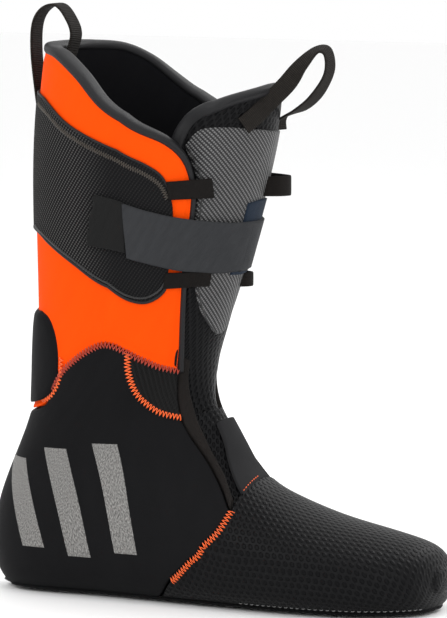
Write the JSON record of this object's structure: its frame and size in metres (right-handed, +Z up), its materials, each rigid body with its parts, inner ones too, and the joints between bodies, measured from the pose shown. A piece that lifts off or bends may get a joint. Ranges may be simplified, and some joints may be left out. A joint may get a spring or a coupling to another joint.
{
  "type": "ski boot liner",
  "caption": "Padded inner boot for an alpine ski boot, with a tall cuff, a separate front tongue, a wrap strap and two fabric pull loops.",
  "frame": {"origin": "on the flat of the outsole, below the instep", "axes": "+X to the toe, +Y to the medial side of this right boot, +Z up the leg"},
  "size_m": [0.2922, 0.1144, 0.3572],
  "materials": {
    "sole_rubber": "matte, thermoformed",
    "board": "woven fibre board",
    "footbed_foam": "felted foam",
    "embossed_fabric": "embossed scale pattern",
    "stiffener": "satin",
    "moulded_foam": "smooth moulded foam skin",
    "smooth_knit": "fine knit",
    "binding": "folded edge tape",
    "stretch_fabric": "stretch knit",
    "lining_fleece": "brushed knit",
    "orange_fabric": "smooth laminated fabric",
    "mesh_fabric": "coarse diagonal mesh",
    "grey_mesh": "coarse two-tone mesh",
    "hook_tape": "hook tape",
    "strap_webbing": "brushed loop webbing",
    "webbing": "flat woven webbing"
  },
  "bodies": {
    "foot": {"outsole": "sole_rubber", "insole_board": "board", "footbed": "footbed_foam", "vamp": "embossed_fabric", "heel_counter": "stiffener", "lateral_quarter": "moulded_foam", "medial_quarter": "moulded_foam", "lateral_ankle_panel": "smooth_knit", "medial_ankle_panel": "smooth_knit", "lateral_throat_trim": "binding", "medial_throat_trim": "binding", "instep_gusset": "stretch_fabric", "foot_lining": "lining_fleece"},
    "cuff": {"cuff_shell": "orange_fabric", "cuff_lining": "lining_fleece", "collar_binding": "binding", "lateral_loop_panel": "mesh_fabric", "medial_loop_panel": "mesh_fabric", "achilles_pad": "moulded_foam", "rear_loop_anchors": "webbing"},
    "tongue": {"tongue_core": "embossed_fabric", "tongue_lining": "lining_fleece", "tongue_shield": "grey_mesh", "strap_patch": "hook_tape", "strap_band": "strap_webbing", "lateral_upper_keeper": "webbing", "lateral_lower_keeper": "webbing", "medial_upper_keeper": "webbing", "medial_lower_keeper": "webbing", "tongue_loop_anchor": "webbing"},
    "lateral_strap": {"lateral_strap_tail": "strap_webbing", "lateral_strap_hook": "hook_tape"},
    "medial_strap": {"medial_strap_tail": "strap_webbing", "medial_strap_hook": "hook_tape"},
    "rear_pull": {"rear_loop": "webbing"},
    "tongue_pull": {"tongue_loop": "webbing"}
  },
  "joints": [
    {"name": "cuff_flex", "type": "hinge", "parent": "foot", "child": "cuff", "pos_m": [-0.066, 0, 0.1], "axis": [0, 1, 0], "range_deg": [-10, 15], "stiffness_Nm_per_rad": 8},
    {"name": "tongue_open", "type": "hinge", "parent": "cuff", "child": "tongue", "pos_m": [-0.002, 0, 0.118], "axis": [0, 1, 0], "range_deg": [0, 25], "stiffness_Nm_per_rad": 3},
    {"name": "lateral_strap_peel", "type": "hinge", "parent": "tongue", "child": "lateral_strap", "pos_m": [-0.00579, -0.03889, 0.21642], "axis": [-0.0005, -0.2255, 0.9742], "range_deg": [0, 110]},
    {"name": "medial_strap_peel", "type": "hinge", "parent": "tongue", "child": "medial_strap", "pos_m": [-0.00579, 0.03889, 0.21642], "axis": [0.0005, -0.2255, -0.9742], "range_deg": [0, 110]},
    {"name": "rear_loop_swing", "type": "hinge", "parent": "cuff", "child": "rear_pull", "pos_m": [-0.11, -0.006, 0.336], "axis": [1, 0, 0], "range_deg": [-25, 25], "stiffness_Nm_per_rad": 0.02},
    {"name": "tongue_loop_swing", "type": "hinge", "parent": "tongue", "child": "tongue_pull", "pos_m": [0.0392, 0.004, 0.2875], "axis": [0, 1, 0], "range_deg": [0, 45], "stiffness_Nm_per_rad": 0.03}
  ]
}
